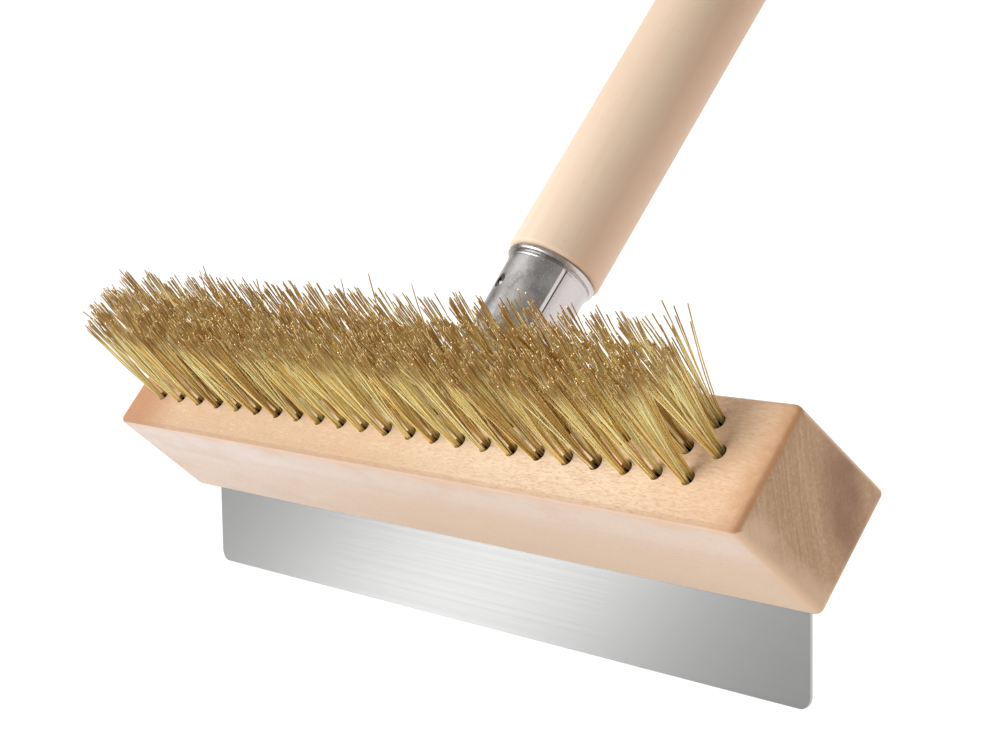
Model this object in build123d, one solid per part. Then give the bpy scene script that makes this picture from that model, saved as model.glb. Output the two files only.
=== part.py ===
from build123d import *
from math import cos, degrees, radians, sin
import os

# A long-handled grill brush. Three staggered rows of brass-wire tufts are set in
# a beech head block, a bent steel scraper is screwed under the block, and a
# straight wooden handle is held in a conical sheet-steel socket.
# Everything is modelled in millimetres about the centre of the head block, with
# X along the block, +Y along the handle and +Z towards the bristle tips. The
# finished pieces are then moved together, so that the origin lies under the
# middle of the brush's bounding box.

# Head block
BLOCK_LENGTH = 268.0
BLOCK_WIDTH = 34.0
BLOCK_HEIGHT = 37.0
BLOCK_EDGE_RADIUS = 1.6
BLOCK_END_RADIUS = 2.6

# Tufts: blind holes, each with a wire bundle folded over a flat anchor
ROWS = {"front": (23, -1), "middle": (24, 0), "rear": (23, 1)}  # tufts, place across
TUFT_PITCH = 10.45
ROW_SPACING = 7.7
ROWS_SHIFT_X = -2.6
ROWS_SHIFT_Y = 1.8
HOLE_RADIUS = 1.9
HOLE_DEPTH = 15.0
ROOT_RADIUS = 1.82
ROOT_BELOW_MOUTH = 1.0
LEG_OFFSET = 0.95
LEG_ROOT_RADIUS = 0.72
LEG_TIP_RADIUS = 2.5
LEG_LENGTH = 34.0
LEG_START_BELOW_MOUTH = 2.0
LEG_LEANS = {-1: 5.0, 1: 13.0}  # degrees towards the handle, front leg and rear leg
FOLD_HEIGHT = 1.5
ANCHOR_WIDTH = 3.5
ANCHOR_THICKNESS = 0.5
ANCHOR_HEIGHT = 5.0

# Scraper: a flange under the block and a blade bent down and forward
SHEET_THICKNESS = 0.8
SCRAPER_LENGTH = 253.0
FLANGE_REAR_Y = 12.0
BEND_Y = -11.6
BEND_RADIUS = 2.0
BLADE_DEPTH = 27.6
BLADE_ANGLE = 39.4
BLADE_CORNER_RADIUS = 3.5
SCRAPER_SCREW_Y = 2.0
SCRAPER_SCREW_X = (-96.0, -32.0, 32.0, 96.0)

# Screws
SCREW_RADIUS = 1.75
SCREW_HEAD_RADIUS = 3.6
SCREW_HEAD_HEIGHT = 2.2
SCREW_TIP_LENGTH = 4.0
RECESS_WIDTH = 0.9
RECESS_LENGTH = 4.2
RECESS_DEPTH = 1.2
SCRAPER_SCREW_LENGTH = 14.0
BASE_SCREW_LENGTH = 13.0
HANDLE_SCREW_RADIUS = 1.4
HANDLE_SCREW_HEAD_RADIUS = 1.95
HANDLE_SCREW_HEAD_HEIGHT = 0.95
HANDLE_SCREW_LENGTH = 10.0
CLEARANCE = 0.05

# Socket: a rolled cone with a lap seam, a beaded mouth and a turned-out foot
SOCKET_WALL = 0.8
SOCKET_FOOT_RADIUS = 11.3
SOCKET_MOUTH_RADIUS = 12.25
SOCKET_LENGTH = 42.5
BEAD_RADIUS = 0.95
BEAD_RING_RADIUS = 12.4
RIDGE_RADIUS = 0.6
RIDGE_RING_RADIUS = 11.9
RIDGE_BELOW_BEAD = 1.75
SEAM_ANGLE = 20.0
SEAM_BEVEL_ANGLE = 26.0
SEAM_FADE_ANGLE = 80.0
SEAM_SHIFT = 0.72
SEAM_EDGE_HEIGHT = 0.12
SEAM_GROOVE_WIDTH = 0.45
SEAM_GROOVE_DEPTH = 0.4
FOOT_LIP_RADIUS = 13.4
FOOT_LIP_THICKNESS = 0.8
FIXING_ANGLE = 104.0
FIXING_UP_SOCKET = 31.5
FIXING_HOLE_RADIUS = 2.2

# Base plate that clamps the socket's foot to the block
BASE_LENGTH = 62.0
BASE_HEIGHT = 30.0
BASE_THICKNESS = 1.7
BASE_EDGE_RADIUS = 0.5
BASE_SCREW_X = 24.0

# Handle
HANDLE_RADIUS = 14.0
HANDLE_EXPOSED_LENGTH = 900.0
HANDLE_END_ROUNDING = 9.0
HANDLE_SHOULDER_ROUNDING = 1.2

# Levels worked out from the sizes above
MOUTH_Z = BLOCK_HEIGHT / 2
HOLE_FLOOR_Z = MOUTH_Z - HOLE_DEPTH
BACK_Z = -BLOCK_HEIGHT / 2
REAR_Y = BLOCK_WIDTH / 2
SOCKET_MOUTH_Y = REAR_Y + SOCKET_LENGTH
BEAD_TOP_Y = SOCKET_MOUTH_Y + BEAD_RADIUS
HANDLE_SHOULDER_Y = BEAD_TOP_Y + CLEARANCE
HANDLE_END_Y = HANDLE_SHOULDER_Y + HANDLE_EXPOSED_LENGTH
UPRIGHT = (Align.CENTER, Align.CENTER, Align.MIN)


def hole_centres(row):
    """The hole centres of one row, from -X to +X."""
    count, place = ROWS[row]
    first = ROWS_SHIFT_X - (count - 1) / 2 * TUFT_PITCH
    y = ROWS_SHIFT_Y + place * ROW_SPACING
    return [(first + i * TUFT_PITCH, y) for i in range(count)]


def copies(piece, places):
    """One compound of separate copies of a piece."""
    return Compound(children=[Location(place) * piece for place in places])


def along(start, end, radius):
    """A cylinder from one point to another."""
    axis = Vector(*end) - Vector(*start)
    plane = Plane(origin=start, z_dir=axis)
    return plane * Cylinder(radius, axis.length, align=UPRIGHT)


def scraper_screw_places():
    return [(x, SCRAPER_SCREW_Y, BACK_Z - SHEET_THICKNESS) for x in SCRAPER_SCREW_X]


def base_screw_places():
    return [(x, REAR_Y + BASE_THICKNESS, 0) for x in (-BASE_SCREW_X, BASE_SCREW_X)]


def head_block():
    block = Box(BLOCK_LENGTH, BLOCK_WIDTH, BLOCK_HEIGHT)
    end_edges = block.edges().filter_by(lambda e: e.length < BLOCK_LENGTH / 2)
    block = fillet(end_edges, BLOCK_END_RADIUS)
    long_edges = block.edges().filter_by(lambda e: e.length > BLOCK_LENGTH / 2)
    block = fillet(long_edges, BLOCK_EDGE_RADIUS)
    hole = Cylinder(HOLE_RADIUS, HOLE_DEPTH + 1, align=UPRIGHT)
    holes = [Pos(x, y, HOLE_FLOOR_Z) * hole for row in ROWS for x, y in hole_centres(row)]
    for x, y, z in scraper_screw_places():
        holes.append(along((x, y, z), (x, y, z + SCRAPER_SCREW_LENGTH + 1), SCREW_RADIUS + CLEARANCE))
    for x, y, z in base_screw_places():
        holes.append(along((x, y, z), (x, y - BASE_SCREW_LENGTH - 1, z), SCREW_RADIUS + CLEARANCE))
    return block - holes


def tuft():
    """One bundle: a folded root in its hole and two legs that fan out above it."""
    root = Cylinder(ROOT_RADIUS, HOLE_DEPTH - ROOT_BELOW_MOUTH, align=UPRIGHT)
    slot = Box(2 * HOLE_RADIUS, ANCHOR_THICKNESS + 4 * CLEARANCE, HOLE_DEPTH, align=UPRIGHT)
    body = Pos(0, 0, HOLE_FLOOR_Z) * (root - Pos(0, 0, FOLD_HEIGHT) * slot)
    for side, lean in LEG_LEANS.items():
        leg = Cone(LEG_ROOT_RADIUS, LEG_TIP_RADIUS, LEG_LENGTH, align=UPRIGHT)
        mouth = Pos(0, side * LEG_OFFSET, MOUTH_Z)
        body += mouth * Rot(X=-lean) * Pos(0, 0, -LEG_START_BELOW_MOUTH) * leg
    return body


def tuft_row(row):
    return copies(tuft(), [(x, y, 0) for x, y in hole_centres(row)])


def anchor_row(row):
    plate = Box(ANCHOR_WIDTH, ANCHOR_THICKNESS, ANCHOR_HEIGHT, align=UPRIGHT)
    z = HOLE_FLOOR_Z + FOLD_HEIGHT + CLEARANCE
    return copies(plate, [(x, y, z) for x, y in hole_centres(row)])


def scraper():
    """The flange lies on the block's back face, and the blade runs down and forward."""
    middle_z = BACK_Z - SHEET_THICKNESS / 2
    angle = radians(BLADE_ANGLE)
    tip = (BEND_Y - BLADE_DEPTH * cos(angle), middle_z - BLADE_DEPTH * sin(angle))
    route = FilletPolyline((FLANGE_REAR_Y, middle_z), (BEND_Y, middle_z), tip, radius=BEND_RADIUS)
    section = Plane.YZ * trace(route, SHEET_THICKNESS)
    sheet = extrude(section, SCRAPER_LENGTH / 2, both=True)
    end_edges = sheet.edges().filter_by(lambda e: abs(e.length - SHEET_THICKNESS) < 0.01)
    corners = end_edges.sort_by(Axis.Y)
    sheet = fillet(corners[:2] + corners[-2:], BLADE_CORNER_RADIUS)
    for x, y, z in scraper_screw_places():
        sheet -= along((x, y, z - 1), (x, y, BACK_Z + 1), SCREW_RADIUS + 4 * CLEARANCE)
    return sheet


def screw(radius, length, head_radius, head_height):
    """A round-head cross-recess wood screw. Its head's seat is at Z = 0 and its tip points up."""
    tip = Cone(radius, 0.2, SCREW_TIP_LENGTH, align=UPRIGHT)
    body = Cylinder(radius, length - SCREW_TIP_LENGTH, align=UPRIGHT)
    body += Pos(0, 0, length - SCREW_TIP_LENGTH) * tip
    dome_radius = (head_radius**2 + head_height**2) / (2 * head_height)
    dome = Pos(0, 0, dome_radius - head_height) * Sphere(dome_radius)
    head = Cylinder(head_radius, head_height, align=(Align.CENTER, Align.CENTER, Align.MAX)) & dome
    reach = RECESS_LENGTH * head_radius / SCREW_HEAD_RADIUS
    arm = Box(reach, RECESS_WIDTH, 2 * RECESS_DEPTH)
    recess = Pos(0, 0, -head_height) * (arm + Rot(Z=90) * arm)
    return body + (head - recess)


def scraper_screw(place):
    piece = screw(SCREW_RADIUS, SCRAPER_SCREW_LENGTH, SCREW_HEAD_RADIUS, SCREW_HEAD_HEIGHT)
    return Pos(*place) * Rot(Z=12 + place[0]) * piece


def base_screw(place):
    piece = screw(SCREW_RADIUS, BASE_SCREW_LENGTH, SCREW_HEAD_RADIUS, SCREW_HEAD_HEIGHT)
    return Plane(origin=place, x_dir=(1, 0, 0), z_dir=(0, -1, 0)) * Rot(Z=20 + place[0]) * piece


def socket_radius(y):
    """The socket's outer radius at a place along it."""
    share = (y - REAR_Y) / SOCKET_LENGTH
    return SOCKET_FOOT_RADIUS + (SOCKET_MOUTH_RADIUS - SOCKET_FOOT_RADIUS) * share


def cone_about_y(y0, y1, inset):
    """A solid cone frustum about the Y axis, inset from the socket's outer surface."""
    profile = Polyline(
        (0, y0), (socket_radius(y0) - inset, y0), (socket_radius(y1) - inset, y1), (0, y1), close=True
    )
    return revolve(make_face(profile), Axis.Y)


def disc_about_y(y0, y1, radius):
    return along((0, y0, 0), (0, y1, 0), radius)


def fixing_direction():
    angle = radians(FIXING_ANGLE)
    return Vector(cos(angle), 0, sin(angle))


def turned(angle, radius, y):
    """The point at an angle around the Y axis, from +X towards +Z."""
    return (radius * cos(radians(angle)), y, radius * sin(radians(angle)))


def seam_section(y):
    """The region that the outer lap may fill at one place along the socket."""
    radius = socket_radius(y)
    corners = [
        (0, y, 0),
        turned(SEAM_ANGLE, radius + SEAM_EDGE_HEIGHT, y),
        turned(SEAM_BEVEL_ANGLE, radius + SEAM_SHIFT, y),
        turned(SEAM_BEVEL_ANGLE, 2 * radius, y),
        turned(SEAM_FADE_ANGLE, 2 * radius, y),
    ]
    return make_face(Polyline(*corners, close=True))


def seam_lap():
    """The sheet's outer lap: bevelled at the seam's edge, and fading out around the cone."""
    foot_y = REAR_Y + BASE_THICKNESS + CLEARANCE
    top_y = SOCKET_MOUTH_Y - RIDGE_BELOW_BEAD
    shift = Pos(*turned(SEAM_FADE_ANGLE - 90, SEAM_SHIFT, 0))
    region = loft([seam_section(foot_y), seam_section(top_y)], ruled=True)
    return (shift * cone_about_y(foot_y, top_y, 0)) & region


def seam_groove():
    """The gap in front of the outer lap's edge."""
    foot_y = REAR_Y + BASE_THICKNESS + CLEARANCE
    top_y = SOCKET_MOUTH_Y - RIDGE_BELOW_BEAD
    half_turn = degrees(SEAM_GROOVE_WIDTH / 2 / SOCKET_MOUTH_RADIUS)
    middle = SEAM_ANGLE - half_turn
    start = Vector(*turned(middle, socket_radius(foot_y), foot_y))
    end = Vector(*turned(middle, socket_radius(top_y), top_y))
    plane = Plane(origin=start, x_dir=turned(middle, 1, 0), z_dir=end - start)
    return plane * Box(2 * SEAM_GROOVE_DEPTH, SEAM_GROOVE_WIDTH, (end - start).length, align=UPRIGHT)


def socket_section():
    """The socket's wall, foot lip, ridge and bead as a flat section, ready to turn about Y."""
    foot, mouth = socket_radius(REAR_Y), socket_radius(SOCKET_MOUTH_Y)
    ridge_y = SOCKET_MOUTH_Y - RIDGE_BELOW_BEAD
    wall = Polyline((0, REAR_Y), (foot, REAR_Y), (mouth, SOCKET_MOUTH_Y), (0, SOCKET_MOUTH_Y), close=True)
    lip = Rectangle(FOOT_LIP_RADIUS, FOOT_LIP_THICKNESS, align=(Align.MIN, Align.MIN))
    section = make_face(wall) + Pos(0, REAR_Y) * lip
    section += Pos(BEAD_RING_RADIUS, SOCKET_MOUTH_Y) * Circle(BEAD_RADIUS)
    section += Pos(RIDGE_RING_RADIUS, ridge_y) * Circle(RIDGE_RADIUS)
    low, high = REAR_Y - 1, BEAD_TOP_Y + 1
    bore_low, bore_high = socket_radius(low) - SOCKET_WALL, socket_radius(high) - SOCKET_WALL
    bore = Polyline((0, low), (bore_low, low), (bore_high, high), (0, high), close=True)
    return section - make_face(bore)


def socket():
    """The conical sheet-steel socket that the handle is driven into."""
    body = revolve(socket_section(), Axis.Y)
    body += seam_lap() - cone_about_y(REAR_Y, SOCKET_MOUTH_Y, SOCKET_WALL / 2)
    body -= seam_groove()
    y = REAR_Y + FIXING_UP_SOCKET
    outward = fixing_direction() * HANDLE_RADIUS
    return body - along((0, y, 0), (outward.X, y, outward.Z), FIXING_HOLE_RADIUS)


def socket_base():
    """The oblong plate over the socket's foot."""
    outline = Rot(X=-90) * SlotOverall(BASE_LENGTH, BASE_HEIGHT)
    plate = Pos(0, REAR_Y, 0) * extrude(outline, BASE_THICKNESS)
    outer = plate.faces().sort_by(Axis.Y)[-1]
    plate = fillet(outer.edges(), BASE_EDGE_RADIUS)
    plate -= disc_about_y(REAR_Y - 1, REAR_Y + FOOT_LIP_THICKNESS + CLEARANCE, FOOT_LIP_RADIUS + CLEARANCE)
    plate -= cone_about_y(REAR_Y, REAR_Y + BASE_THICKNESS + 1, -2 * CLEARANCE)
    for x, y, z in base_screw_places():
        plate -= along((x, y + 1, z), (x, REAR_Y - 1, z), SCREW_RADIUS + 4 * CLEARANCE)
    return plate


def handle_screw_seat():
    """The middle of the seat under the handle screw's head, on the wood inside the socket's hole."""
    y = REAR_Y + FIXING_UP_SOCKET
    slope_allowance = 2 * CLEARANCE
    outward = fixing_direction() * (socket_radius(y) - SOCKET_WALL + slope_allowance)
    return Vector(outward.X, y, outward.Z)


def handle_screw():
    piece = screw(
        HANDLE_SCREW_RADIUS, HANDLE_SCREW_LENGTH, HANDLE_SCREW_HEAD_RADIUS, HANDLE_SCREW_HEAD_HEIGHT
    )
    return Plane(origin=handle_screw_seat(), z_dir=-fixing_direction()) * piece


def handle():
    """The dowel: a tapered end in the socket, a shoulder on the bead and a rounded far end."""
    dowel = disc_about_y(HANDLE_SHOULDER_Y, HANDLE_END_Y, HANDLE_RADIUS)
    dowel = fillet(dowel.edges().sort_by(Axis.Y)[-1], HANDLE_END_ROUNDING)
    dowel = fillet(dowel.edges().sort_by(Axis.Y)[0], HANDLE_SHOULDER_ROUNDING)
    dowel += cone_about_y(REAR_Y + CLEARANCE, HANDLE_SHOULDER_Y + 1, SOCKET_WALL + CLEARANCE)
    seat = handle_screw_seat()
    tip = seat - fixing_direction() * (HANDLE_SCREW_LENGTH + 1)
    return dowel - along(tuple(seat), tuple(tip), HANDLE_SCREW_RADIUS + CLEARANCE)


def build_pieces():
    """Every piece of the brush by its node name."""
    pieces = {"head_block": head_block(), "scraper": scraper()}
    for row in ROWS:
        pieces[f"bristles_{row}_row"] = tuft_row(row)
        pieces[f"anchors_{row}_row"] = anchor_row(row)
    for number, place in enumerate(scraper_screw_places(), 1):
        pieces[f"scraper_screw_{number}"] = scraper_screw(place)
    for number, place in enumerate(base_screw_places(), 1):
        pieces[f"socket_base_screw_{number}"] = base_screw(place)
    pieces["socket"] = socket()
    pieces["socket_base"] = socket_base()
    pieces["handle_screw"] = handle_screw()
    pieces["handle"] = handle()
    return pieces


def main():
    pieces = build_pieces()
    boxes = [piece.bounding_box() for piece in pieces.values()]
    low = [min(tuple(box.min)[i] for box in boxes) for i in range(3)]
    high = [max(tuple(box.max)[i] for box in boxes) for i in range(3)]
    origin = Pos(-(low[0] + high[0]) / 2, -(low[1] + high[1]) / 2, -low[2])
    os.makedirs("parts", exist_ok=True)
    for name, piece in pieces.items():
        export_step(origin * piece, f"parts/{name}.step")
    print("block centre at", tuple(round(v, 3) for v in origin.position))


main()
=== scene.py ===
import math

import bpy
import numpy as np
from mathutils import Matrix, Vector


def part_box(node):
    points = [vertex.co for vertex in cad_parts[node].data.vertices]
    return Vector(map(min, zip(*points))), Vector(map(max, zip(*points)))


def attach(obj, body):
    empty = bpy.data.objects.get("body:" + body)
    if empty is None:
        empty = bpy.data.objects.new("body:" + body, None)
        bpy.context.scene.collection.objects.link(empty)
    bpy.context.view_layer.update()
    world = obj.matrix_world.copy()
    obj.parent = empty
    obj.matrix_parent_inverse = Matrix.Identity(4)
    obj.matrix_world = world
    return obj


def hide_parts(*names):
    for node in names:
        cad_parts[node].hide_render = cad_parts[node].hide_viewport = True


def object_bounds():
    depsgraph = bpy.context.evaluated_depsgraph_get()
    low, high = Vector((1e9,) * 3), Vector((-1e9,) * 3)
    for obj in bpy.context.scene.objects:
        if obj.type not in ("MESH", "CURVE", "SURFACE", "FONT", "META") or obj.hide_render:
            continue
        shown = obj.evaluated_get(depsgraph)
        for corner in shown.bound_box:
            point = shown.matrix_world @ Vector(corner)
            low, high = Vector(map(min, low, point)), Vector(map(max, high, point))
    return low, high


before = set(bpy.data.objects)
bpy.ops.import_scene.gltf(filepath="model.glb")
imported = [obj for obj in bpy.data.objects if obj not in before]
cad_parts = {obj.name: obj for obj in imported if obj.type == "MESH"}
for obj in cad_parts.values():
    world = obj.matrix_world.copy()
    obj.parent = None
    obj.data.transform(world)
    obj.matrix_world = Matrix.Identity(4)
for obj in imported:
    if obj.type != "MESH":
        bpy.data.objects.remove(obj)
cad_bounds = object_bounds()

# The looks of a long-handled grill brush, in metres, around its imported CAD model.
# X runs along the head block, +Y along the handle and +Z towards the bristle tips.
# The materials work in millimetres, in the same axes.

MM = 0.001
BLOCK_LOW, BLOCK_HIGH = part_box("head_block")
BLOCK_CENTRE = (BLOCK_LOW + BLOCK_HIGH) / 2
BRISTLE_FACE_Z = BLOCK_HIGH.z
TIP_Z = max(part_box(f"bristles_{row}_row")[1].z for row in ("front", "middle", "rear"))

# Camera: its place from the block's centre, its viewing direction and roll, and, in
# millimetres, its lens and sensor
CAMERA_OFFSET = Vector((470.5, -163.2, 334.7)) * MM
CAMERA_LOOK = Vector((-0.77216, 0.31078, -0.55424))
CAMERA_UP = Vector((-0.07624, 0.82063, 0.56636))
CAMERA_LENS = 79.9
SENSOR_WIDTH = 36.0

# Tufts, as they sit in the block: how many in each row, and the row's place across
ROWS = {"front": (23, -1), "middle": (24, 0), "rear": (23, 1)}
TUFT_PITCH = 10.45 * MM
ROW_SPACING = 7.7 * MM
ROWS_SHIFT = Vector((-2.6, 1.8)) * MM

# Socket: its axis's height, its mouth and, in radians from +X, where its seam and lap start
SOCKET_AXIS_Z = BLOCK_CENTRE.z
BEAD_RADIUS = 0.95 * MM
SOCKET_MOUTH_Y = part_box("socket")[1].y - BEAD_RADIUS
SEAM_TURN = math.radians(20.0)
LAP_TURN = math.radians(26.0)

# Growth rings, in millimetres. The block's heart is from its centre, in Y and Z, and the
# dowel's heart is in X and Z.
RING_CENTRE = (240.0, -200.0)
DOWEL_HEART = (-4.0, 50.0)
WIDE_RING_PITCH = 2.6
FINE_RING_PITCH = 0.50

# Wires, as tubes
WIRE_RADIUS = 0.17 * MM
WIRES_PER_LEG = 18
WIRE_SIDES = 6
WIRE_RINGS = 8
WIRE_START_DEPTH = 6.0 * MM
TIP_CLEARANCE = 0.2 * MM
TIP_SLOPE = 0.45

# Legs: two to each tuft, near each other in the hole, leaning and fanning out above it
LEG_OFFSET = 1.10 * MM
LEG_RADII = np.array([1.00, 0.58]) * MM
LEG_SHIFT = np.array([-0.40, 0.0]) * MM
LEG_SPREADS = np.array([2.9, 4.4])
ROOT_GATHER = 0.35

# Degrees of lean, along X for all legs and towards the handle for each row's two legs
LEAN_X = -2.5
LEG_LEANS = {"front": (8.5, 13.5), "middle": (6.5, 12.5), "rear": (5.0, 12.5)}

# How far each row's uneven tips stay below the tallest wires
ROW_DROPS = {"front": 0.2 * MM, "middle": 0.8 * MM, "rear": 1.1 * MM}

# The outermost tufts' extra lean along X, in degrees, and a factor on how far they fan out
END_SPLAYS = {0: (-8.0, 0.85), 1: (-4.0, 0.95), -2: (2.5, 1.15), -1: (4.5, 1.30)}
REAR_CORNER_SPLAY = (6.5, 2.4)
NO_SPLAY = (0.0, 1.0)

# How much one tuft differs from the next: its fanning, its twist and leans in degrees, its tone
TUFT_SPREADS = (0.85, 1.15)
TUFT_TWIST = 8.0
TUFT_LEAN = 1.2
TUFT_TONE = 0.15
LEG_LEAN = 0.7

# How much one wire differs from the next. SHORT_BY is in millimetres.
GOLDEN_TURN = math.pi * (3 - math.sqrt(5))
WIRE_SEED = 100
WIRE_TURN = 0.3
UNEVEN_SHARE = 0.94
UNEVEN_BY = 1.1 * MM
SHORT_SHARE = 0.14
SHORT_BY = (1.0, 5.0)
WIRE_DRIFT = 0.35 * MM
WIRE_BENDS = (1.0, 1.25)
STRAY_SHARE = 0.07
STRAY_DRIFT = 2.6 * MM
STRAY_BENDS = (1.3, 2.4)
RIPPLE = 0.10 * MM
RIPPLE_HALF_TURNS = 2.2


# ---------------------------------------------------------------- shader kit

class Shader:
    """A material's node tree, with short calls for the nodes that these materials use."""

    def __init__(self, name):
        self.material = bpy.data.materials.new(name)
        self.material.use_nodes = True
        self.tree = self.material.node_tree
        self.tree.nodes.clear()
        self.bsdf = self.node("ShaderNodeBsdfPrincipled")
        output = self.node("ShaderNodeOutputMaterial")
        self.tree.links.new(self.bsdf.outputs["BSDF"], output.inputs["Surface"])

    def node(self, kind, **settings):
        made = self.tree.nodes.new(kind)
        for key, value in settings.items():
            setattr(made, key, value)
        return made

    def set(self, node, name, value):
        """Sets an input, by name or number, to a number, a colour or another node's output."""
        socket = node.inputs[name]
        if isinstance(value, bpy.types.NodeSocket):
            self.tree.links.new(value, socket)
        else:
            socket.default_value = value

    def surface(self, **inputs):
        for key, value in inputs.items():
            self.set(self.bsdf, key.replace("_", " ").title().replace("Ior", "IOR"), value)

    def place(self, scale=(1, 1, 1), offset=(0, 0, 0)):
        """The object's own coordinates in millimetres, scaled along each axis."""
        coordinates = self.node("ShaderNodeTexCoord")
        mapping = self.node("ShaderNodeMapping")
        self.set(mapping, "Vector", coordinates.outputs["Object"])
        self.set(mapping, "Scale", [s / MM for s in scale])
        self.set(mapping, "Location", offset)
        return mapping.outputs["Vector"]

    def axes(self, vector):
        split = self.node("ShaderNodeSeparateXYZ")
        self.set(split, "Vector", vector)
        return split.outputs["X"], split.outputs["Y"], split.outputs["Z"]

    def normal(self):
        return self.node("ShaderNodeNewGeometry").outputs["Normal"]

    def attribute(self, name):
        return self.node("ShaderNodeAttribute", attribute_name=name).outputs["Fac"]

    def noise(self, vector, scale=1.0, detail=3.0, roughness=0.5, distortion=0.0):
        made = self.node("ShaderNodeTexNoise")
        self.set(made, "Vector", vector)
        self.set(made, "Scale", scale)
        self.set(made, "Detail", detail)
        self.set(made, "Roughness", roughness)
        self.set(made, "Distortion", distortion)
        return made.outputs["Fac"]

    def cells(self, vector, scale=1.0, output="Distance"):
        made = self.node("ShaderNodeTexVoronoi")
        self.set(made, "Vector", vector)
        self.set(made, "Scale", scale)
        return made.outputs[output]

    def calc(self, operation, a, b=0.0, clamp=False):
        made = self.node("ShaderNodeMath", operation=operation, use_clamp=clamp)
        self.set(made, 0, a)
        self.set(made, 1, b)
        return made.outputs[0]

    def absolute(self, value):
        return self.calc("ABSOLUTE", value)

    def plus(self, a, b):
        return self.calc("ADD", a, b)

    def minus(self, a, b):
        return self.calc("SUBTRACT", a, b)

    def times(self, first, *others):
        """The product of several values."""
        product = first
        for value in others:
            product = self.calc("MULTIPLY", product, value)
        return product

    def span(self, value, low, high, to_low=0.0, to_high=1.0):
        """Maps a value smoothly from one range to another, and holds it at the ends."""
        made = self.node("ShaderNodeMapRange", interpolation_type="SMOOTHSTEP")
        self.set(made, "Value", value)
        self.set(made, "From Min", low)
        self.set(made, "From Max", high)
        self.set(made, "To Min", to_low)
        self.set(made, "To Max", to_high)
        return made.outputs["Result"]

    def mix(self, share, first, second):
        """A colour between two. A mix node's inputs 0, 6 and 7 are its share and its two colours."""
        made = self.node("ShaderNodeMix", data_type="RGBA", clamp_factor=True)
        self.set(made, 0, share)
        self.set(made, 6, first)
        self.set(made, 7, second)
        return made.outputs[2]

    def bump(self, height, strength, distance):
        made = self.node("ShaderNodeBump")
        self.set(made, "Height", height)
        self.set(made, "Strength", strength)
        self.set(made, "Distance", distance * MM)
        return made.outputs["Normal"]


def linear(value):
    """One channel, given as on a screen from 0 to 255, as a linear value."""
    return ((value / 255 + 0.055) / 1.055) ** 2.4 if value > 10 else value / 255 / 12.92


def rgb(red, green, blue):
    return (linear(red), linear(green), linear(blue), 1.0)


def grey(value):
    return rgb(value, value, value)


# ---------------------------------------------------------------- beech block

# Tones of the bristle face, from one end of the block to the other
FACE_LIGHT = rgb(224, 200, 173)
FACE_DARK = rgb(216, 187, 156)
FACE_MIDDLE = rgb(235, 212, 186)
FACE_LEFT = rgb(214, 185, 156)
FACE_RIGHT = rgb(226, 184, 146)
FACE_RING = rgb(216, 176, 138)
FACE_FLECK = rgb(206, 162, 122)
FACE_PORE = rgb(186, 138, 98)
FACE_GLEAM = rgb(248, 226, 200)

# Tones of the near side
PALE_LIGHT = rgb(229, 213, 205)
PALE_DARK = rgb(218, 190, 165)
PALE_CLOUD = rgb(214, 186, 164)
PALE_RING = rgb(206, 176, 150)
PALE_PORE = rgb(190, 154, 128)
PALE_SPECK = rgb(150, 98, 76)
PALE_EDGE = rgb(228, 188, 156)

# Tones of the end grain
END_LIGHT = rgb(203, 165, 131)
END_DARK = rgb(193, 154, 120)
END_RING = rgb(160, 116, 84)
END_GLEAM = rgb(232, 202, 172)
END_MOTTLE = rgb(180, 136, 104)
END_SPECKLE = rgb(168, 122, 92)
# Painted shade on the end face, in blotches
END_SHADE = rgb(140, 100, 78)

# Tones of worn places, of painted shade on the rounded end edges, and of painted shade in the holes
# and on the underside
WORN_EDGE = rgb(230, 196, 164)
# Painted shade on the rounded end edges: a band and a darker rim
END_EDGE_SHADE = rgb(196, 144, 102)
RIM_SHADE = rgb(170, 112, 62)
ROSY = rgb(180, 124, 84)
TAN_EDGE = rgb(170, 128, 96)
# Painted shade in the holes and on the bare underside
HOLE_SHADE = rgb(58, 36, 22)

# The block's limits in millimetres
LEFT_X, NEAR_Y, BACK_Z = BLOCK_LOW / MM
RIGHT_X, REAR_Y, FACE_Z = BLOCK_HIGH / MM
PALEST_X = 75.0


def ring_distance(s):
    """How far a point lies from the heart of the tree, in millimetres, for the block's wood."""
    across, up = RING_CENTRE
    offset = (0, -(BLOCK_CENTRE.y / MM + across), -(BLOCK_CENTRE.z / MM + up))
    length = s.node("ShaderNodeVectorMath", operation="LENGTH")
    s.set(length, "Vector", s.place((0, 1, 1), offset))
    return length.outputs["Value"]


def rings(s, distance, pitch):
    """Uneven growth rings: noise that varies quickly with the distance and slowly along X."""
    x, y, z = s.axes(s.place((0.004, 0.03, 0.03)))
    place = s.node("ShaderNodeCombineXYZ")
    s.set(place, "X", s.calc("DIVIDE", distance, pitch))
    s.set(place, "Y", s.plus(y, z))
    s.set(place, "Z", x)
    return s.noise(place.outputs["Vector"], roughness=0.6)


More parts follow.
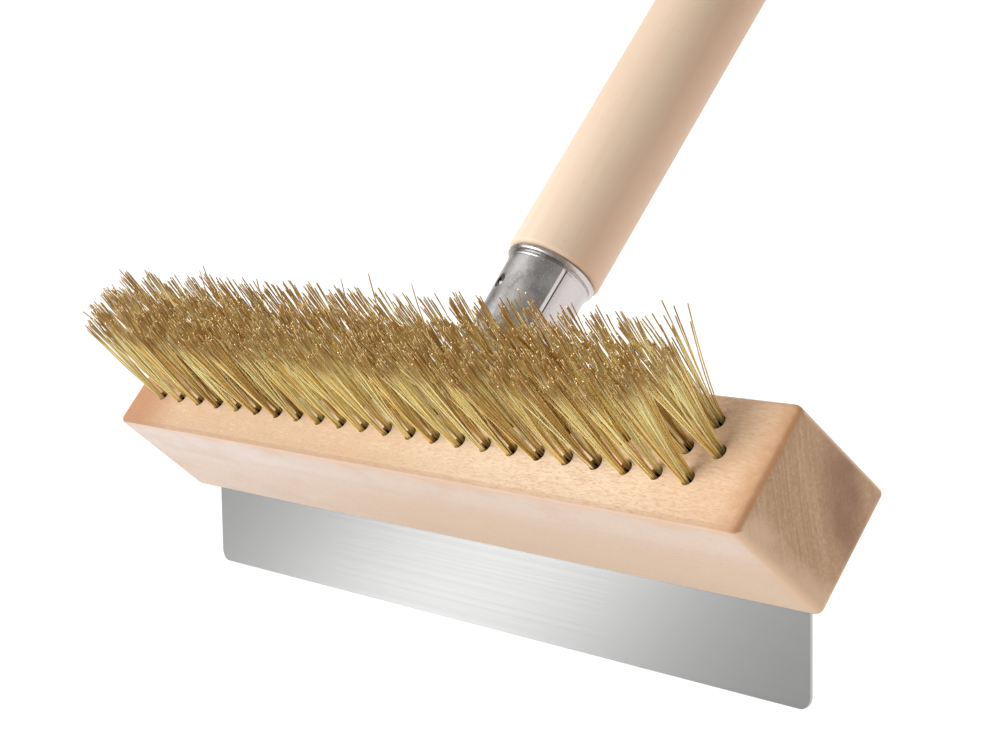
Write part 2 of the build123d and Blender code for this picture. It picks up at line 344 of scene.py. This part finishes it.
class BlockShader(Shader):
    """The block's node tree, with the places, directions and noises that its faces share."""

    def __init__(self):
        super().__init__("beech_block")
        self.x, self.y, self.z = self.axes(self.place())
        nx, self.ny, self.nz = self.axes(self.normal())
        self.up_ends = self.absolute(nx)
        self.x_out = self.absolute(self.x)
        self.y_near = self.minus(self.y, NEAR_Y)

        distance = ring_distance(self)
        self.wide_rings = rings(self, distance, WIDE_RING_PITCH)
        self.fine_rings = rings(self, distance, FINE_RING_PITCH)
        self.cloud = self.noise(self.place((0.05, 0.10, 0.10)), roughness=0.55)
        self.wave = self.times(self.minus(self.cloud, 0.5), 10.0)
        self.mottle = self.noise(self.place((0.3, 0.40, 0.40)), roughness=0.6)
        self.pores = self.noise(self.place((0.60, 4.0, 4.0)), detail=2, roughness=0.6)
        fleck_place = self.place((0.34, 1.75, 1.75))
        self.flecks = self.noise(fleck_place, detail=2, roughness=0.55, distortion=0.8)

    def waved(self, place, share=1.0):
        """A place moved to and fro a little, so that a border on it isn't straight."""
        return self.plus(place, self.times(self.wave, share))


def bristle_face(s):
    """Fine flecks and pores, paler in one stretch, with a rosy left end, a tan near edge and painted
    shade at the right end.
    """
    broad = s.noise(s.place((0.012, 0.05, 0.05)), detail=2)
    face = s.mix(s.span(broad, 0.35, 0.65), FACE_LIGHT, FACE_DARK)
    from_palest = s.absolute(s.minus(s.x, PALEST_X))
    face = s.mix(s.span(from_palest, 80, 15, 0, 0.8), face, FACE_MIDDLE)
    face = s.mix(s.span(s.x, 10, -80, 0, 0.7), face, FACE_LEFT)
    face = s.mix(s.span(s.wide_rings, 0.42, 0.68, 0, 0.22), face, FACE_RING)

    grain = s.span(s.x, -20, 120, 0.8, 1.5)
    face = s.mix(s.times(s.span(s.flecks, 0.50, 0.66, 0, 0.34), grain), face, FACE_FLECK)
    face = s.mix(s.times(s.span(s.pores, 0.52, 0.68, 0, 0.40), grain), face, FACE_PORE)
    face = s.mix(s.times(s.span(s.flecks, 0.44, 0.32, 0, 0.30), grain), face, FACE_GLEAM)
    # Painted shade: the face turns warmer and darker towards its right end, where the last tufts'
    # shadows fall.
    face = s.mix(s.span(s.x, 85, 128, 0, 0.45), face, FACE_RIGHT)

    left_end = s.times(s.span(s.waved(s.x), LEFT_X + 34, LEFT_X + 8), s.span(s.nz, 0.10, 0.50))
    face = s.mix(s.times(left_end, 0.75), face, ROSY)
    near_edge = s.span(s.waved(s.y_near, 0.35), 6.0, 1.5)
    return s.mix(s.times(near_edge, 0.14), face, TAN_EDGE)


def near_side(s):
    """Paler sanded wood, warmer low down and to the right, with a few dark specks."""
    low = s.span(s.waved(s.z), FACE_Z - 8, FACE_Z - 24)
    right = s.span(s.x, -90, 20)
    warm = s.calc("MULTIPLY", s.plus(low, right), 0.55, clamp=True)
    specks = s.cells(s.place((0.10, 0.28, 0.28)))
    pale = s.mix(warm, PALE_LIGHT, PALE_DARK)
    pale = s.mix(s.span(s.cloud, 0.45, 0.70, 0, 0.45), pale, PALE_CLOUD)
    pale = s.mix(s.span(s.wide_rings, 0.48, 0.72, 0, 0.16), pale, PALE_RING)
    pale = s.mix(s.span(s.pores, 0.54, 0.74, 0, 0.24), pale, PALE_PORE)
    pale = s.mix(s.span(specks, 0.060, 0.020, 0, 0.55), pale, PALE_SPECK)
    sanded = s.span(s.waved(s.z, 0.8), FACE_Z - 5.0, FACE_Z - 1.5)
    return s.mix(s.times(sanded, 0.50), pale, PALE_EDGE)


def end_place(s):
    """A place on the end face, as shares of its width and height from its near upper corner,
    and how far that is from the corner."""
    across = s.calc("DIVIDE", s.y_near, REAR_Y - NEAR_Y)
    down = s.calc("DIVIDE", s.minus(FACE_Z, s.z), FACE_Z - BACK_Z)
    reach = s.calc("SQRT", s.plus(s.times(across, across), s.times(down, down)))
    return across, down, s.waved(reach, 0.02)


def painted_end_shade(s, across, down, reach, blotch):
    """How strong the painted shade is: a blotchy arc around the end face's near upper corner."""
    arc = s.span(s.absolute(s.minus(reach, 1.0)), 0.26, 0.05)
    spots = s.span(blotch, 0.34, 0.58, 0.45, 1.0)
    inner = s.times(s.span(across, 0.30, 0.60), s.span(down, 0.16, 0.60))
    return s.times(arc, spots, inner)


def end_grain(s):
    """Browner end grain: fine rings, speckles, a blotchy arc of painted shade and a paler worn near
    edge.
    """
    across, down, reach = end_place(s)
    blotch_place = s.place((0.05, 0.075, 0.060))
    blotch = s.noise(blotch_place, detail=4, roughness=0.6, distortion=0.5)
    speckle = s.noise(s.place((0.3, 1.2, 1.2)), roughness=0.7)
    lined = s.span(reach, 1.05, 0.60, 0.30, 1.0)
    wood = s.mix(s.span(s.wide_rings, 0.15, 0.85), END_LIGHT, END_DARK)
    wood = s.mix(s.times(s.span(s.fine_rings, 0.48, 0.62, 0, 0.30), lined), wood, END_RING)
    wood = s.mix(s.times(s.span(s.fine_rings, 0.46, 0.34, 0, 0.24), lined), wood, END_GLEAM)
    wood = s.mix(s.span(s.mottle, 0.50, 0.72, 0, 0.26), wood, END_MOTTLE)
    wood = s.mix(s.span(speckle, 0.50, 0.66, 0, 0.30), wood, END_SPECKLE)
    wood = s.mix(s.span(speckle, 0.48, 0.34, 0, 0.20), wood, END_GLEAM)
    # Painted shade: a blotchy dark arc on the end face, away from its near upper corner.
    dark_patch = painted_end_shade(s, across, down, reach, blotch)
    wood = s.mix(s.times(dark_patch, 0.70), wood, END_SHADE)
    ragged = s.times(s.minus(blotch, 0.5), 16.0)
    worn = s.span(s.plus(s.y_near, ragged), 8.0, 1.5)
    return s.mix(s.times(worn, 0.70), wood, WORN_EDGE)


def edge_shade_and_wear(s, wood):
    """Painted shade on the rounded ends of the bristle face, darkest in a rim on them, and a tan
    long edge.
    """
    # Painted shade: a darker band on the face and its rounding within 9 mm of each end.
    edge = s.span(s.waved(s.x_out, 0.6), RIGHT_X - 9, RIGHT_X)
    edge = s.times(edge, s.span(s.up_ends, 0.985, 0.80))
    edge = s.times(edge, s.span(s.nz, 0.05, 0.45, 0.15, 1.0))
    edge = s.times(edge, s.span(s.mottle, 0.30, 0.65, 0.70, 1.0))
    wood = s.mix(s.times(edge, 0.80), wood, END_EDGE_SHADE)

    # Painted shade: a darker rim partway round the rounding.
    rim_shade = s.times(s.span(s.up_ends, 0.45, 0.75), s.span(s.up_ends, 0.985, 0.85))
    rim_shade = s.times(rim_shade, s.span(s.nz, 0.05, 0.30, 0, 0.45))
    wood = s.mix(rim_shade, wood, RIM_SHADE)

    long_edge = s.times(s.span(s.ny, -0.05, -0.40), s.span(s.ny, -0.995, -0.80))
    long_edge = s.times(long_edge, s.span(s.nz, 0.02, 0.20))
    return s.mix(s.times(long_edge, 0.42), wood, TAN_EDGE)


def painted_hole_shade(s, wood):
    """Painted shade: dark brown below the bristle face and inside the block's outline, standing in
    for the shade in its holes. The underside lies there too, so where the scraper's flange leaves it
    bare it is as dark."""
    # Painted shade: everything inside the outline and below the face is coloured near black-brown.
    depth = s.span(s.z, FACE_Z - 0.3, FACE_Z - 1.8)
    off_centre = s.absolute(s.minus(s.y, BLOCK_CENTRE.y / MM))
    inside = s.calc("LESS_THAN", off_centre, (REAR_Y - NEAR_Y) / 2 - 1)
    inside_x = s.calc("LESS_THAN", s.x_out, RIGHT_X - 2)
    return s.mix(s.times(depth, inside, inside_x), wood, HOLE_SHADE)


def beech_block():
    """Bare sanded beech: fine flecks along the grain, browner end grain, painted shade on the
    rounded end edges and in the holes.
    """
    s = BlockShader()
    wood = s.mix(s.span(s.ny, -0.80, -0.99), bristle_face(s), near_side(s))
    corner = s.times(s.span(s.up_ends, 0.05, 0.40), s.span(s.nz, 0.30, 0.10))
    wood = s.mix(corner, wood, WORN_EDGE)
    wood = s.mix(s.span(s.up_ends, 0.78, 0.99), wood, end_grain(s))
    wood = edge_shade_and_wear(s, wood)
    wood = painted_hole_shade(s, wood)
    relief = s.plus(s.times(s.pores, 0.6), s.times(s.flecks, 0.5))
    s.surface(
        base_color=wood,
        roughness=s.span(s.pores, 0.3, 0.8, 0.55, 0.70),
        specular_ior_level=0.35,
        normal=s.bump(relief, 0.45, 0.12),
    )
    return s.material


# ------------------------------------------------------------ other materials

def turn_about_socket(s):
    """The angle about the handle's axis, in radians from +X towards +Z, and the place along Y."""
    x, y, z = s.axes(s.place(offset=(0, 0, -SOCKET_AXIS_Z / MM)))
    return s.calc("ARCTAN2", z, x), y


def dowel_rings(s):
    """Growth rings on the handle's far end, about a heart near the dowel's surface."""
    heart_x, heart_z = DOWEL_HEART
    growth = s.node("ShaderNodeTexWave", wave_type="RINGS", rings_direction="Y")
    s.set(growth, "Vector", s.place(offset=(-heart_x, 0, -heart_z)))
    s.set(growth, "Scale", 0.12)
    s.set(growth, "Distortion", 2.0)
    return s.mix(growth.outputs["Fac"], rgb(222, 188, 152), rgb(200, 162, 126))


def handle_wood():
    """A smooth pale dowel: long faint streaks, a few specks, ringed end grain, paler near the
    socket's mouth and with painted shade on one side.
    """
    s = Shader("handle_wood")
    up_end = s.axes(s.normal())[1]
    streaks = s.noise(s.place((0.30, 0.007, 0.30)), roughness=0.55, distortion=0.3)
    fine = s.noise(s.place((1.8, 0.05, 1.8)), detail=4, roughness=0.6)
    broad = s.noise(s.place((0.04, 0.006, 0.04)), detail=2)
    flecks = s.noise(s.place((1.3, 0.40, 1.3)), detail=1)
    specks = s.cells(s.place((0.075, 0.045, 0.075)))

    turn, y = turn_about_socket(s)
    mouth = SOCKET_MOUTH_Y / MM
    # Paler near the socket's mouth, darker further along the handle.
    near_mouth_tone = s.mix(s.span(broad, 0.35, 0.65), rgb(239, 219, 197), rgb(233, 208, 184))
    further_tone = s.mix(s.span(broad, 0.35, 0.65), rgb(220, 196, 172), rgb(214, 187, 161))
    wood = s.mix(s.span(y, mouth - 5, mouth + 110), near_mouth_tone, further_tone)
    turn = s.plus(turn, s.times(s.minus(streaks, 0.5), 0.5))
    # Painted shade: the side of the dowel from about -1.6 to 0.4 radians about its axis is warmer
    # and darker.
    shaded_side = s.times(s.span(turn, 0.72, 0.12), s.span(turn, -1.9, -1.3))
    wood = s.mix(s.times(shaded_side, 0.50), wood, rgb(211, 166, 136))
    wood = s.mix(s.span(streaks, 0.45, 0.72, 0, 0.26), wood, rgb(222, 188, 156))
    wood = s.mix(s.span(fine, 0.50, 0.75, 0, 0.12), wood, rgb(208, 170, 136))
    wood = s.mix(s.span(flecks, 0.73, 0.82, 0, 0.35), wood, rgb(186, 140, 104))
    wood = s.mix(s.span(specks, 0.036, 0.014, 0, 0.6), wood, rgb(150, 92, 62))
    wood = s.mix(s.span(up_end, 0.80, 0.97), wood, dowel_rings(s))
    s.surface(
        base_color=wood,
        roughness=s.span(fine, 0.3, 0.8, 0.46, 0.60),
        specular_ior_level=0.35,
        normal=s.bump(fine, 0.20, 0.06),
    )
    return s.material


def brass_wire():
    """Drawn brass wire: each has its own tone, some are tarnished, and all carry painted shade that
    darkens them towards the tip; the cut ends have a painted highlight.
    """
    s = Shader("brass_wire")
    tone = s.attribute("tone")
    along = s.attribute("along")
    up = s.axes(s.normal())[2]
    dark_patch = s.noise(s.place((0.5, 0.5, 0.12)), roughness=0.6)
    drawn = s.noise(s.place((14, 14, 0.3)), detail=2)
    brass = s.mix(s.span(tone, 0.10, 0.90), rgb(238, 198, 110), rgb(255, 249, 188))
    brass = s.mix(s.span(dark_patch, 0.45, 0.75, 0, 0.25), brass, rgb(226, 182, 98))
    brass = s.mix(s.span(tone, 0.20, 0.10, 0, 0.65), brass, rgb(128, 88, 40))
    # Painted shade: the wires darken towards their tips.
    brass = s.mix(s.span(along, 0.76, 0.98, 0, 0.80), brass, rgb(158, 110, 50))
    # The cut ends are paler: bare cut brass with a painted highlight on it.
    cut_tip_glint = s.times(s.span(along, 0.98, 1.0), s.span(up, 0.55, 0.80))
    brass = s.mix(s.times(cut_tip_glint, 0.35), brass, rgb(250, 232, 180))
    s.surface(
        base_color=brass,
        metallic=0.40,
        roughness=s.span(dark_patch, 0.3, 0.8, 0.26, 0.42),
        normal=s.bump(drawn, 0.15, 0.02),
    )
    return s.material


def brushed_steel():
    """Stainless sheet with fine brushing along the blade, a few scratches and painted shade that
    darkens its +X end.
    """
    s = Shader("scraper_steel")
    brushing = s.noise(s.place((0.006, 9.0, 9.0)), detail=4, roughness=0.7)
    bands = s.noise(s.place((0.003, 1.2, 1.2)), detail=2)
    scratches = s.noise(s.place((0.02, 5.0, 5.0)), detail=1)
    x = s.axes(s.place())[0]
    steel = s.mix(s.span(brushing, 0.3, 0.7), grey(190), grey(193))
    steel = s.mix(s.span(bands, 0.4, 0.7, 0, 0.2), steel, grey(180))
    # Painted shade: the +X end of the blade is darker, as if it reflected less light.
    steel = s.mix(s.span(x, 50, 130, 0, 0.5), steel, grey(164))
    height = s.plus(brushing, s.span(scratches, 0.70, 0.78, 0, 0.6))
    s.surface(
        base_color=steel,
        metallic=1.0,
        roughness=s.span(bands, 0.3, 0.7, 0.255, 0.270),
        normal=s.bump(height, 0.0015, 0.02),
    )
    return s.material


def galvanised_sheet():
    """Zinc-coated sheet: mottled crystals, small pits, a painted reflection that lightens the lap
    beyond the seam, and a painted shadow line along the seam.
    """
    s = Shader("galvanised_sheet")
    place = s.place((1, 0.7, 1))
    cloud = s.noise(place, 0.20, detail=4, roughness=0.65)
    grain = s.noise(place, 1.6, roughness=0.7)
    crystal = s.axes(s.cells(place, 0.55, "Color"))[0]
    pits = s.cells(place, 1.3)
    zinc = s.mix(s.span(cloud, 0.35, 0.65), rgb(156, 152, 148), rgb(190, 187, 185))
    zinc = s.mix(s.times(crystal, 0.25), zinc, rgb(212, 212, 216))
    zinc = s.mix(s.span(grain, 0.52, 0.72, 0, 0.40), zinc, rgb(136, 133, 131))
    zinc = s.mix(s.span(pits, 0.24, 0.08, 0, 0.7), zinc, rgb(236, 236, 240))

    turn, y = turn_about_socket(s)
    mouth = SOCKET_MOUTH_Y / MM
    # Painted reflection: the sheet beyond the seam is paler.
    lap_reflection = s.times(s.span(turn, LAP_TURN + 0.01, LAP_TURN - 0.01), s.span(turn, -2.4, -1.6))
    zinc = s.mix(s.times(lap_reflection, 0.8), zinc, rgb(214, 206, 205))
    # Painted shadow: a thin dark line along the seam, below the bead.
    seam_shade = s.span(s.absolute(s.minus(turn, SEAM_TURN - 0.02)), 0.018, 0.006)
    below_ridge = s.span(y, mouth - 1.4, mouth - 2.0)
    zinc = s.mix(s.times(seam_shade, below_ridge), zinc, rgb(92, 88, 86))
    height = s.plus(grain, s.times(cloud, 0.8))
    s.surface(
        base_color=zinc,
        metallic=1.0,
        roughness=s.span(cloud, 0.3, 0.7, 0.26, 0.40),
        normal=s.bump(height, 0.50, 0.07),
    )
    return s.material


def plated_steel(name, tint):
    """Plated or plain steel with fine turning marks and small stains."""
    s = Shader(name)
    grain = s.noise(s.place(), 2.6, roughness=0.7)
    dark_patch = s.noise(s.place(), 0.6, detail=2)
    metal = s.mix(s.span(grain, 0.35, 0.7), tint, rgb(150, 150, 152))
    metal = s.mix(s.span(dark_patch, 0.55, 0.75, 0, 0.4), metal, rgb(120, 112, 100))
    s.surface(
        base_color=metal,
        metallic=1.0,
        roughness=s.span(grain, 0.3, 0.7, 0.22, 0.38),
        normal=s.bump(grain, 0.2, 0.03),
    )
    return s.material


def dress_frame():
    """Gives every CAD node that stays in view its material."""
    zinc = galvanised_sheet()
    materials = {
        "head_block": beech_block(),
        "handle": handle_wood(),
        "scraper": brushed_steel(),
        "socket": zinc,
        "socket_base": zinc,
        "handle_screw": plated_steel("dull_screw", rgb(96, 90, 84)),
    }
    screw = plated_steel("zinc_screw", rgb(205, 203, 198))
    anchor = plated_steel("anchor_steel", rgb(170, 170, 172))
    for name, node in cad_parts.items():
        if name.startswith("bristles"):
            continue
        fastener = anchor if name.startswith("anchors") else screw
        node.data.materials.clear()
        node.data.materials.append(materials.get(name, fastener))


# --------------------------------------------------------------------- wires

def tuft_centres(row):
    count, place = ROWS[row]
    first = ROWS_SHIFT.x - (count - 1) / 2 * TUFT_PITCH
    y = BLOCK_CENTRE.y + ROWS_SHIFT.y + place * ROW_SPACING
    return [(first + i * TUFT_PITCH, y) for i in range(count)]


def wire_root(rng, centre, leg, place):
    """Where a wire leaves its hole, and how far that is from the middle of its leg."""
    turn = place * GOLDEN_TURN + rng.normal(0, WIRE_TURN)
    reach = math.sqrt((place + 0.5) / WIRES_PER_LEG)
    offset = LEG_RADII * reach * np.array([math.cos(turn), math.sin(turn)])
    twist = leg["twist"]
    middle = leg["side"] * LEG_OFFSET * np.array([-math.sin(twist), math.cos(twist)])
    return np.array(centre) + middle + offset + LEG_SHIFT, offset


def wire_height(rng, drop):
    """How far a wire's tip stands above the bristle face."""
    height = TIP_Z - BRISTLE_FACE_Z - TIP_CLEARANCE
    if rng.random() < UNEVEN_SHARE:
        height -= drop + abs(rng.normal(0, UNEVEN_BY))
    if rng.random() < SHORT_SHARE:
        height -= rng.uniform(*SHORT_BY) * MM
    return height


def wire_course(rng, height, leg, offset):
    """How far a wire's tip drifts sideways, and how much of that comes near the tip."""
    drift = height * np.tan(np.radians(leg["lean"])) + offset * (leg["spread"] - 1)
    drift += rng.normal(0, WIRE_DRIFT, 2)
    bend = rng.uniform(*WIRE_BENDS)
    if rng.random() < STRAY_SHARE:
        drift += rng.normal(0, STRAY_DRIFT, 2)
        bend = rng.uniform(*STRAY_BENDS)
    return drift, bend


def wire_line(rng, centre, leg, place):
    """One wire's centre line, from inside its hole to its tip."""
    root, offset = wire_root(rng, centre, leg, place)
    height = wire_height(rng, leg["drop"])
    drift, bend = wire_course(rng, height, leg, offset)
    ripple = rng.normal(0, RIPPLE, 2)
    phase = rng.uniform(0, 2 * math.pi)

    share = np.linspace(0, 1, WIRE_RINGS)
    z = BRISTLE_FACE_Z - WIRE_START_DEPTH + share * (WIRE_START_DEPTH + height)
    above = np.clip((z - BRISTLE_FACE_Z) / height, 0, 1)
    below = np.clip((BRISTLE_FACE_Z - z) / WIRE_START_DEPTH, 0, 1)
    line = np.empty((WIRE_RINGS, 3))
    swing = np.sin(above * RIPPLE_HALF_TURNS * math.pi + phase) - math.sin(phase)
    for axis in (0, 1):
        line[:, axis] = root[axis] + drift[axis] * above**bend + ripple[axis] * swing * above
        line[:, axis] += (centre[axis] - root[axis]) * ROOT_GATHER * below
    line[:, 2] = z
    return line


def tuft_lines(rng, row, centre, splay):
    """The centre lines of one tuft's wires, with each wire's tone."""
    end_lean, fanning = splay
    spread = LEG_SPREADS * rng.uniform(*TUFT_SPREADS) * fanning
    twist = math.radians(rng.normal(0, TUFT_TWIST))
    tuft_lean = rng.normal(0, TUFT_LEAN, 2)
    tuft_tone = rng.uniform(-TUFT_TONE, TUFT_TONE)
    lines, tones = [], []
    for side, lean in zip((-1, 1), LEG_LEANS[row]):
        leans = tuft_lean + np.array([end_lean + LEAN_X, lean]) + rng.normal(0, LEG_LEAN, 2)
        leg = dict(side=side, lean=leans, spread=spread, twist=twist, drop=ROW_DROPS[row])
        for place in range(WIRES_PER_LEG):
            lines.append(wire_line(rng, centre, leg, place))
            tones.append(min(1, max(0, rng.uniform(0, 1) + tuft_tone)))
    return lines, tones


def row_lines(rng, row):
    """The centre lines of all wires in one row, with each wire's tone."""
    centres = tuft_centres(row)
    lines, tones = [], []
    for index, centre in enumerate(centres):
        from_end = index - len(centres)
        splay = END_SPLAYS.get(index, END_SPLAYS.get(from_end, NO_SPLAY))
        if row == "rear" and from_end == -1:
            splay = REAR_CORNER_SPLAY
        more_lines, more_tones = tuft_lines(rng, row, centre, splay)
        lines += more_lines
        tones += more_tones
    return lines, tones


def tube_verts(lines):
    """Rings of points along each line. The last ring is tilted, as a cut end is."""
    turns = np.arange(WIRE_SIDES) * 2 * math.pi / WIRE_SIDES
    circle = np.stack([np.cos(turns), np.sin(turns)], axis=1) * WIRE_RADIUS
    rng = np.random.default_rng(len(lines))
    verts = []
    for line in lines:
        cut = rng.uniform(-TIP_SLOPE, TIP_SLOPE, 2)
        for ring, point in enumerate(line):
            tilt = cut if ring == WIRE_RINGS - 1 else (0, 0)
            for dx, dy in circle:
                rise = dx * tilt[0] + dy * tilt[1]
                verts.append((point[0] + dx, point[1] + dy, point[2] + rise))
    return verts


def tube_faces(count):
    """The faces of that many closed tubes: quads around each and a cap at both ends."""
    faces = []
    for number in range(count):
        start = number * WIRE_RINGS * WIRE_SIDES
        for ring in range(WIRE_RINGS - 1):
            low = start + ring * WIRE_SIDES
            for i in range(WIRE_SIDES):
                j = (i + 1) % WIRE_SIDES
                faces.append((low + i, low + j, low + WIRE_SIDES + j, low + WIRE_SIDES + i))
        faces.append(tuple(range(start + WIRE_SIDES - 1, start - 1, -1)))
        top = start + (WIRE_RINGS - 1) * WIRE_SIDES
        faces.append(tuple(range(top, top + WIRE_SIDES)))
    return faces


def add_values(mesh, name, values):
    """Gives every point of the mesh a number that its material reads."""
    attribute = mesh.attributes.new(name, "FLOAT", "POINT")
    attribute.data.foreach_set("value", np.array(values, np.float32))


def tube_mesh(name, lines, tones):
    """Closed tubes along the given lines, as one mesh."""
    faces = tube_faces(len(lines))
    mesh = bpy.data.meshes.new(name)
    mesh.from_pydata(tube_verts(lines), [], faces)
    mesh.polygons.foreach_set("use_smooth", [len(face) == 4 for face in faces])
    along = np.repeat(np.arange(WIRE_RINGS) / (WIRE_RINGS - 1), WIRE_SIDES)
    add_values(mesh, "tone", np.repeat(tones, WIRE_RINGS * WIRE_SIDES))
    add_values(mesh, "along", np.tile(along, len(lines)))
    mesh.update()
    return mesh


def make_wires():
    material = brass_wire()
    for number, row in enumerate(ROWS):
        lines, tones = row_lines(np.random.default_rng(WIRE_SEED + number), row)
        mesh = tube_mesh(f"wires_{row}_row", lines, tones)
        mesh.materials.append(material)
        wires = bpy.data.objects.new(f"wires_{row}_row", mesh)
        bpy.context.scene.collection.objects.link(wires)
        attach(wires, "root")
        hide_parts(f"bristles_{row}_row")


# --------------------------------------------------------------------- stage

# The world's light: how high a direction points, and how bright it is there
WORLD_HEIGHTS = (0.1, 0.9)
WORLD_LEVELS = (0.34, 0.44)
WORLD_TINT = (1.0, 0.985, 0.965, 1.0)

# The floor and the key light
FLOOR_TINT = (0.8, 0.8, 0.8, 1.0)
FLOOR_GLOW = 0.14
FLOOR_DROP = 0.40
FLOOR_HALF_SIZE = 30.0
KEY_DIRECTION = (-0.30, -0.35, 0.89)
KEY_POWER = 2.8
KEY_SOFTNESS = 0.85

# Area lights: the direction from the block, the distance, the two sides and the power
PANELS = {
    "rim_shade": ((-0.60, 0.40, 0.69), 1.6, (0.9, 0.9), 2.0),
    "blade_card": ((-0.768, -0.558, 0.312), 1.3, (0.18, 0.8), 0.93),
}


def make_camera():
    back = -CAMERA_LOOK.normalized()
    right = CAMERA_UP.cross(back).normalized()
    up = back.cross(right)
    data = bpy.data.cameras.new("camera")
    data.lens = CAMERA_LENS
    data.sensor_width = SENSOR_WIDTH
    data.sensor_fit = "HORIZONTAL"
    data.clip_start = 0.02
    data.clip_end = 50
    camera = bpy.data.objects.new("camera", data)
    turn = Matrix((right, up, back)).transposed().to_4x4()
    camera.matrix_world = Matrix.Translation(BLOCK_CENTRE + CAMERA_OFFSET) @ turn
    bpy.context.scene.collection.objects.link(camera)
    bpy.context.scene.camera = camera


def add_light(data, direction, distance=0.0):
    """Puts a light in a direction from the head block, facing it."""
    light = bpy.data.objects.new(data.name, data)
    away = Vector(direction).normalized()
    light.location = BLOCK_CENTRE + away * distance
    light.rotation_mode = "QUATERNION"
    light.rotation_quaternion = away.to_track_quat("Z", "Y")
    bpy.context.scene.collection.objects.link(light)


def make_key():
    """The main light: distant and soft, so that it is as strong on the table as on the brush."""
    data = bpy.data.lights.new("key", "SUN")
    data.energy = KEY_POWER
    data.angle = KEY_SOFTNESS
    add_light(data, KEY_DIRECTION)


def make_panels():
    for name, (direction, distance, size, power) in PANELS.items():
        data = bpy.data.lights.new(name, "AREA")
        data.shape = "RECTANGLE"
        data.size, data.size_y = size
        data.energy = power
        add_light(data, direction, distance)


def make_world():
    """Even, nearly white light, a little brighter overhead."""
    world = bpy.data.worlds.new("studio")
    world.use_nodes = True
    nodes, links = world.node_tree.nodes, world.node_tree.links
    direction = nodes.new("ShaderNodeTexCoord")
    split = nodes.new("ShaderNodeSeparateXYZ")
    ramp = nodes.new("ShaderNodeMapRange")
    ends = ("From Min", "From Max", "To Min", "To Max")
    for end, value in zip(ends, WORLD_HEIGHTS + WORLD_LEVELS):
        ramp.inputs[end].default_value = value
    links.new(direction.outputs["Generated"], split.inputs["Vector"])
    links.new(split.outputs["Z"], ramp.inputs["Value"])
    background = nodes["Background"]
    background.inputs["Color"].default_value = WORLD_TINT
    links.new(ramp.outputs["Result"], background.inputs["Strength"])
    bpy.context.scene.world = world


def floor_material():
    """A pale light table, evenly lit from below as well."""
    s = Shader("floor")
    s.surface(base_color=FLOOR_TINT, roughness=0.9, specular_ior_level=0.1)
    s.surface(emission_color=(1.0, 1.0, 1.0, 1.0), emission_strength=FLOOR_GLOW)
    return s.material


def make_floor():
    mesh = bpy.data.meshes.new("floor")
    signs = ((-1, -1), (1, -1), (1, 1), (-1, 1))
    corners = [(FLOOR_HALF_SIZE * x, FLOOR_HALF_SIZE * y, 0) for x, y in signs]
    mesh.from_pydata(corners, [], [(0, 1, 2, 3)])
    mesh.materials.append(floor_material())
    floor = bpy.data.objects.new("floor", mesh)
    floor.location.z = cad_bounds[0].z - FLOOR_DROP
    bpy.context.scene.collection.objects.link(floor)


make_camera()
make_world()
make_floor()
make_key()
make_panels()
dress_frame()
make_wires()

bpy.context.scene.view_settings.view_transform = "Standard"
bpy.context.view_layer.update()
